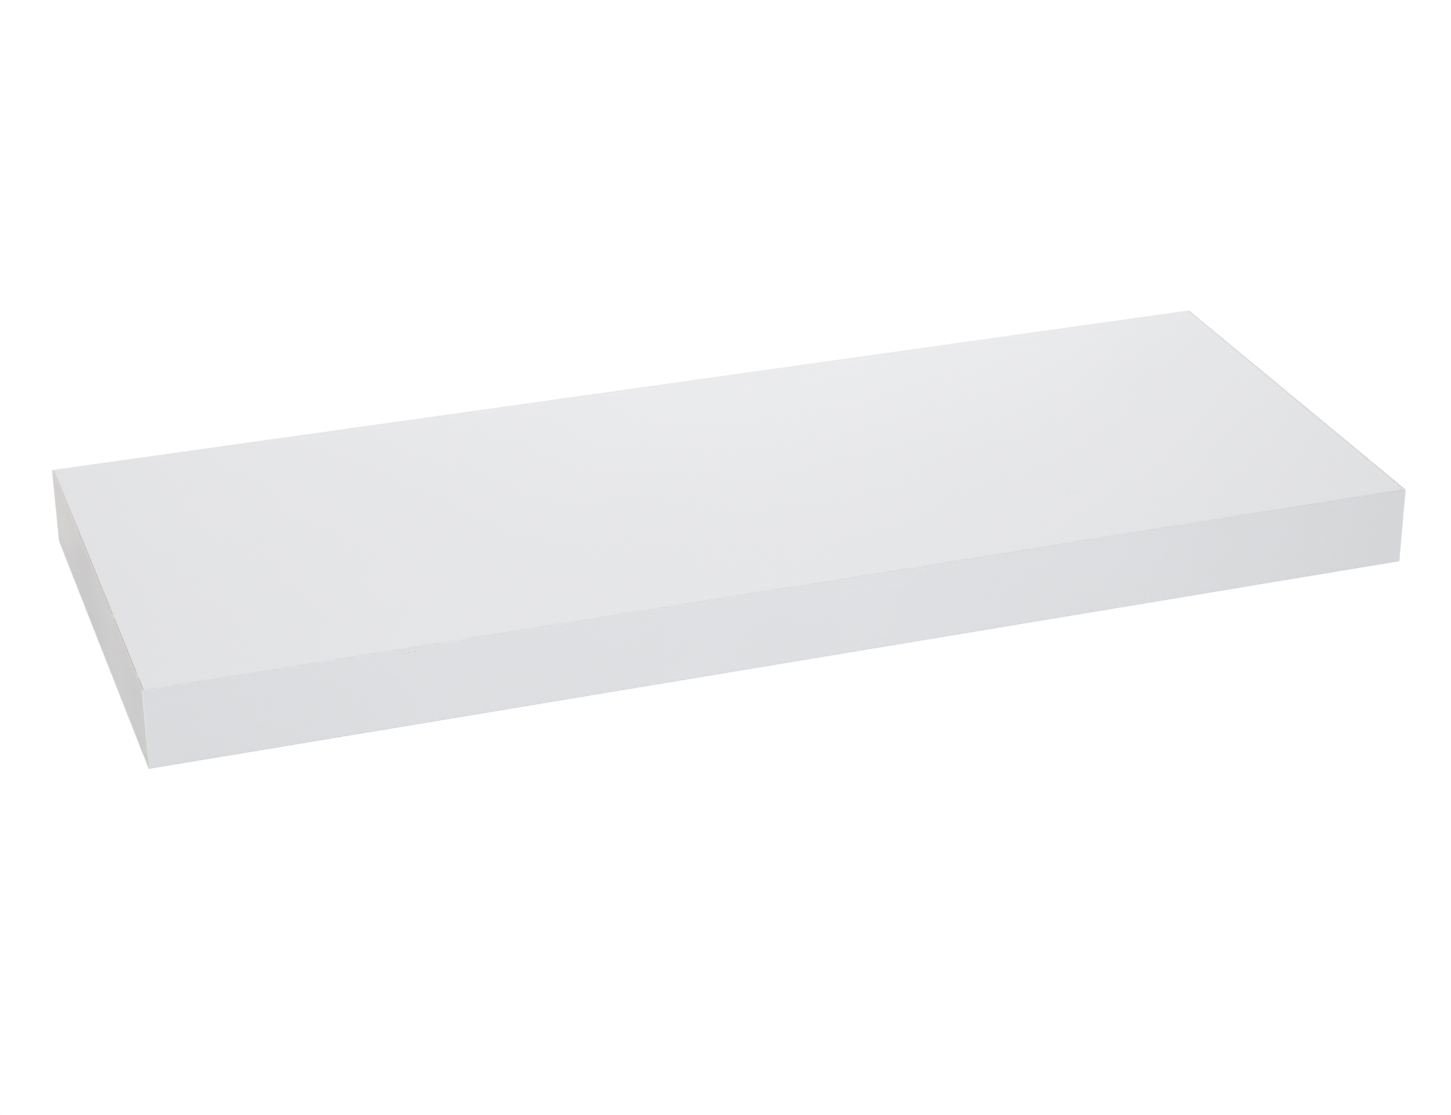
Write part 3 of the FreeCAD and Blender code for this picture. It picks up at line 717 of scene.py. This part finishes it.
rod = {"spigot": 4 * mm, "foot": 3 * mm, "chamfer": 1.5 * mm, "soft": 0.25 * mm, "steps": 72}


def turned(bm, points, axisX, steps, closed=False):
    # a chain of (radius, y) points, spun round an axis that runs along Y
    chain = [bm.verts.new((axisX + radius, y, 0)) for radius, y in points]
    ends = zip(chain, chain[1:] + chain[:1] if closed else chain[1:])
    edges = [bm.edges.new(pair) for pair in ends]
    bmesh.ops.spin(
        bm, geom=chain + edges, cent=(axisX, 0, 0), axis=(0, 1, 0), angle=2 * math.pi, steps=steps,
        use_merge=True,
    )
    bmesh.ops.remove_doubles(bm, verts=bm.verts, dist=meshCare["tiny"])
    bmesh.ops.recalc_face_normals(bm, faces=bm.faces)


for name, node in (("leftRod", "left_rod"), ("rightRod", "right_rod")):
    low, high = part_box(node)
    radius = (high.x - low.x) / 2
    bm = startMesh()
    turned(bm, (
        (0, high.y), (rod["spigot"], high.y), (rod["spigot"], -rod["foot"]), (radius, -rod["foot"]),
        (radius, low.y + rod["chamfer"]), (radius - rod["chamfer"], low.y), (0, low.y),
    ), (low.x + high.x) / 2, rod["steps"])
    soften(bm, crispEdges(bm), rod["soft"])
    finishPiece(name, bm, (metals["rodSteel"],), node)

weld = {
    "ripples": 24, "stepsPerRipple": 8, "rows": 9, "bulge": 0.6, "depth": 0.24 * mm, "lean": 1.1,
    "sharpness": 3, "toe": 0.01, "fadeEnd": 0.95,
}
weldLow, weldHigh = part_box("rod_welds")
weldLeg = weldHigh.y - weldLow.y
weldInner = (weldHigh.z - weldLow.z) / 2 - weldLeg


def beadProfile():           # from the corner along the strip, then over the bulge to the rod
    profile = [(weldInner, weldHigh.y)]
    for row in range(weld["rows"]):
        share = row / (weld["rows"] - 1)
        turn = share * math.pi / 2
        outward = (1 - weld["bulge"]) * (1 - share) + weld["bulge"] * math.cos(turn)
        forward = (1 - weld["bulge"]) * share + weld["bulge"] * math.sin(turn)
        profile.append((weldInner + weldLeg * outward, weldHigh.y - weldLeg * forward))
    return profile


def rippleBead(bead, axisX):         # each ripple is a shallow crescent that leans with the run of the weld
    for vert in bead.verts:
        offset = Vector((vert.co.x - axisX, 0, vert.co.z))
        share = (weldHigh.y - vert.co.y) / weldLeg
        if offset.length > weldInner + meshCare["same"] and share > weld["toe"]:
            angle = math.atan2(offset.z, offset.x)
            phase = weld["ripples"] * angle / 2 + weld["lean"] * math.sin(share * math.pi)
            fade = math.sin(min(share, weld["fadeEnd"]) * math.pi)
            dip = weld["depth"] * abs(math.cos(phase)) ** weld["sharpness"] * fade
            vert.co -= offset.normalized() * dip


bm = startMesh()
for node in ("left_rod", "right_rod"):
    low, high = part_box(node)
    axisX = (low.x + high.x) / 2
    bead = startMesh()
    turned(bead, beadProfile(), axisX, weld["ripples"] * weld["stepsPerRipple"], closed=True)
    rippleBead(bead, axisX)
    ring = bpy.data.meshes.new("bead")
    bead.to_mesh(ring)
    bead.free()
    bm.from_mesh(ring)
    bpy.data.meshes.remove(ring)
finishPiece("rodWelds", bm, (metals["weldMetal"],), "rod_welds")


# Locking screws and their inserts, with real threads

thread = {"pitch": 1.0 * mm, "steps": 48, "flat": 0.12, "crestStart": 0.5, "spareTurns": 2}
screw = {
    "crest": 2.96 * mm, "root": 2.55 * mm, "lead": 0.55 * mm, "pointRadius": 2.3 * mm, "cupRadius": 1.5 * mm,
    "cupFloor": 0.5 * mm, "cupDepth": 0.5 * mm, "socketWidth": 3 * mm, "socketDepth": 3.5 * mm,
    "socketLead": 0.2 * mm, "wornRim": 0.02 * mm,
}
insert = {
    "crest": 3.15 * mm, "root": 3.5 * mm, "lead": 0.4 * mm, "mouth": 3.7 * mm, "flange": 1 * mm,
    "flangeEdge": 0.2 * mm, "sleeve": 5 * mm, "barbs": 6, "barbDepth": 0.4 * mm, "barbFlat": 0.35,
}


def openLoop(bm, height):        # the open edges that lie at one height
    return [
        e for e in bm.edges
        if e.is_boundary and all(abs(v.co.z - height) < meshCare["same"] for v in e.verts)
    ]


def threadTube(bm, axis, crest, root, low, high):
    # a zigzag chain, turned once while it climbs one pitch, then cut off square at both ends
    pitch, steps, spare = thread["pitch"], thread["steps"], thread["spareTurns"]
    flat, crestStart = thread["flat"], thread["crestStart"]
    turns = math.ceil((high - low) / pitch) + 2 * spare
    zigzag = ((root, 0.0), (root, flat), (crest, crestStart), (crest, crestStart + flat))
    chain = [
        bm.verts.new((axis.x + radius, axis.y, low + (turn - spare + rise) * pitch))
        for turn in range(turns) for radius, rise in zigzag
    ]
    edges = [bm.edges.new(pair) for pair in zip(chain, chain[1:])]
    bmesh.ops.spin(
        bm, geom=chain + edges, cent=(axis.x, axis.y, 0), axis=(0, 0, 1), dvec=(0, 0, pitch / steps),
        angle=2 * math.pi, steps=steps, use_merge=False,
    )
    bmesh.ops.remove_doubles(bm, verts=bm.verts, dist=meshCare["merge"])
    for height, way in ((low, -1), (high, 1)):
        bmesh.ops.bisect_plane(
            bm, geom=bm.verts[:] + bm.edges[:] + bm.faces[:], dist=meshCare["tiny"],
            plane_co=(0, 0, height), plane_no=(0, 0, way), clear_outer=True,
        )
    return openLoop(bm, low), openLoop(bm, high)


def nextRing(bm, loop, axis, height, radiusAt):
    # draws a loop of edges on to a new ring, whose radius may depend on the angle
    made = bmesh.ops.extrude_edge_only(bm, edges=loop)["geom"]
    fresh = {part for part in made if isinstance(part, bmesh.types.BMVert)}
    for vert in fresh:
        angle = math.atan2(vert.co.y - axis.y, vert.co.x - axis.x)
        radius = radiusAt(angle) if callable(radiusAt) else radiusAt
        vert.co = (axis.x + radius * math.cos(angle), axis.y + radius * math.sin(angle), height)
    return [e for e in made if isinstance(e, bmesh.types.BMEdge) and set(e.verts) <= fresh]


def hexRadius(width):
    sixth = math.pi / 3
    return lambda angle: width / 2 / math.cos((angle % sixth) - sixth / 2)


for name, node in (("leftLockScrew", "left_lock_screw"), ("rightLockScrew", "right_lock_screw")):
    low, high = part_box(node)
    axis = (low + high) / 2
    lead = screw["lead"]
    bm = startMesh()
    bottom, top = threadTube(bm, axis, screw["crest"], screw["root"], low.z + lead, high.z - lead)
    socket = hexRadius(screw["socketWidth"])
    socketMouth = hexRadius(screw["socketWidth"] + 2 * screw["socketLead"])
    for height, radius in (
        (low.z, screw["pointRadius"]), (low.z, socketMouth), (low.z + screw["socketLead"], socket),
        (low.z + screw["socketDepth"], socket),
    ):
        bottom = nextRing(bm, bottom, axis, height, radius)
    bmesh.ops.contextual_create(bm, geom=bottom)
    for height, radius in (
        (high.z, screw["pointRadius"]), (high.z, screw["cupRadius"]),
        (high.z - screw["cupDepth"], screw["cupFloor"]),
    ):
        top = nextRing(bm, top, axis, height, radius)
    bmesh.ops.contextual_create(bm, geom=top)
    bmesh.ops.recalc_face_normals(bm, faces=bm.faces)
    markEdge(bm, [f for f in bm.faces if abs(f.calc_center_median().z - low.z) < screw["wornRim"]])
    finishPiece(name, bm, (metals["blackSteel"],), node)

for name, node in (("leftLockInsert", "left_lock_insert"), ("rightLockInsert", "right_lock_insert")):
    low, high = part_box(node)
    axis = (low + high) / 2
    lead, corner = insert["lead"], insert["flangeEdge"]
    flangeRadius = (high.x - low.x) / 2
    flangeTop = low.z + insert["flange"]
    bm = startMesh()
    bottom, top = threadTube(bm, axis, insert["crest"], insert["root"], low.z + lead, high.z - lead)
    rings = [
        (low.z, insert["mouth"]), (low.z, flangeRadius - corner), (low.z + corner, flangeRadius),
        (flangeTop, flangeRadius), (flangeTop, insert["sleeve"]),
    ]
    rise = (high.z - flangeTop) / insert["barbs"]
    for barb in range(insert["barbs"]):
        start = flangeTop + barb * rise
        rings.append((start + insert["barbFlat"] * rise, insert["sleeve"]))
        rings.append((start + rise, insert["sleeve"] - insert["barbDepth"]))
    rings.append((high.z, insert["mouth"]))
    for height, radius in rings:
        bottom = nextRing(bm, bottom, axis, height, radius)
    bmesh.ops.bridge_loops(bm, edges=bottom + top)
    bmesh.ops.recalc_face_normals(bm, faces=bm.faces)
    finishPiece(name, bm, (metals["insertMetal"],), node)

print("pieces done")


# Floor, world and lamps: a plain white studio

stage = {
    "floorDrop": 2.5, "floorSize": 60.0, "floorColor": (0.86, 0.86, 0.86, 1), "floorPale": (0.9, 0.9, 0.9, 1),
    "floorRough": 0.9, "floorGrain": 40.0, "lift": 0.53,
}
worldLook = {"light": 0.54, "background": 1.0}
lamps = {
    "overhead": {"at": (0.15, 0.39, 0.86), "aim": (0.05, -0.08, 0.0), "size": (0.7, 0.5), "watts": 4.4},
    "front": {"at": (0.04, -0.75, 0.07), "aim": (0.04, -0.2, 0.0), "size": (0.7, 0.5), "watts": 1.35},
    "leftFill": {"at": (-0.74, -0.67, 0.38), "aim": (-0.25, -0.12, 0.0), "size": (0.6, 0.6), "watts": 1.25},
    "wallGlow": {"at": (-0.5, 0.05, 0.0), "aim": (-0.3, -0.02, 0.0), "size": (0.12, 0.03), "watts": 0.014},
}
wallBeam = {             # a weak warm light past the back of the left end, which its soft rim crosses
    "at": (-0.9, -0.05, 0.0), "aim": (-0.3, 0.193, 0.54), "cone": 89.8, "rimSoft": 0.03, "radius": 0.006,
    "color": (1, 0.96, 0.6), "watts": 1.0,
}


def seenDirectly(tree):
    # 1 where the ray comes from the camera or from a mirror-like or clear surface
    path = addNode(tree, "ShaderNodeLightPath").outputs
    either = sums(tree, "MAXIMUM", path["Is Camera Ray"], path["Is Glossy Ray"])
    return sums(tree, "MAXIMUM", either, path["Is Transmission Ray"])


def floorFinish():
    constants = {"Roughness": stage["floorRough"], "Emission Color": (1, 1, 1, 1)}
    material, tree, shader, place = newFinish("paleFloor", constants)
    grain = useGroup(tree, fineGrain, Vector=place, Scale=stage["floorGrain"])
    feed(tree, shader, {
        "Base Color": mixColors(tree, grain["Tone"], stage["floorColor"], stage["floorPale"]),
        "Emission Strength": sums(tree, "MULTIPLY", seenDirectly(tree), stage["lift"]),
    })
    return material


bm = bmesh.new()
bmesh.ops.create_grid(bm, x_segments=2, y_segments=2, size=stage["floorSize"] / 2)
bmesh.ops.translate(bm, vec=(0, 0, -stage["floorDrop"]), verts=bm.verts)
floorMesh = bpy.data.meshes.new("paleFloor")
bm.to_mesh(floorMesh)
bm.free()
floorMesh.materials.append(floorFinish())
floor = bpy.data.objects.new("paleFloor", floorMesh)
scene.collection.objects.link(floor)

world = bpy.data.worlds.new("whiteStudio")
world.use_nodes = True
worldTree = world.node_tree
worldTree.nodes.clear()
strength = ramp(worldTree, seenDirectly(worldTree), 0.0, 1.0, worldLook["light"], worldLook["background"])
backdrop = addNode(worldTree, "ShaderNodeBackground", {"Color": (1, 1, 1, 1), "Strength": strength})
addNode(worldTree, "ShaderNodeOutputWorld", {"Surface": backdrop.outputs[0]})
scene.world = world


def placeLamp(name, data, lamp):
    data.energy = lamp["watts"]
    light = bpy.data.objects.new(name, data)
    light.visible_camera = False
    light.visible_glossy = name == "overhead"    # the low lamps would burn out the white faces from behind
    light.location = lamp["at"]
    light.rotation_mode = "QUATERNION"
    light.rotation_quaternion = (Vector(lamp["aim"]) - Vector(lamp["at"])).to_track_quat("-Z", "Y")
    scene.collection.objects.link(light)


for name, lamp in lamps.items():
    data = bpy.data.lights.new(name, "AREA")
    data.shape = "RECTANGLE"
    data.size, data.size_y = lamp["size"]
    placeLamp(name, data, lamp)

beam = bpy.data.lights.new("wallBeam", "SPOT")
beam.spot_size, beam.spot_blend = math.radians(wallBeam["cone"]), wallBeam["rimSoft"]
beam.shadow_soft_size = wallBeam["radius"]
beam.color = wallBeam["color"]
placeLamp("wallBeam", beam, wallBeam)
print("lamps:", len(lamps) + 1)


# Camera, fitted to the photo's corners of the board

view = {
    "lens": 87.7, "sensor": 36, "azimuth": -18.739, "elevation": 26.38, "distance": 1.6988, "roll": -0.302,
    "target": (0.00073, -0.1175, -0.02245),
}
azimuth, elevation = math.radians(view["azimuth"]), math.radians(view["elevation"])
backward = Vector((
    math.sin(azimuth) * math.cos(elevation), -math.cos(azimuth) * math.cos(elevation), math.sin(elevation),
))
camera = bpy.data.objects.new("photoView", bpy.data.cameras.new("photoView"))
camera.data.lens = view["lens"]
camera.data.sensor_width = view["sensor"]
camera.location = Vector(view["target"]) + backward * view["distance"]
camera.rotation_mode = "QUATERNION"
level = (-backward).to_track_quat("-Z", "Y")
camera.rotation_quaternion = level @ Quaternion((0, 0, 1), math.radians(view["roll"]))
scene.collection.objects.link(camera)
scene.camera = camera
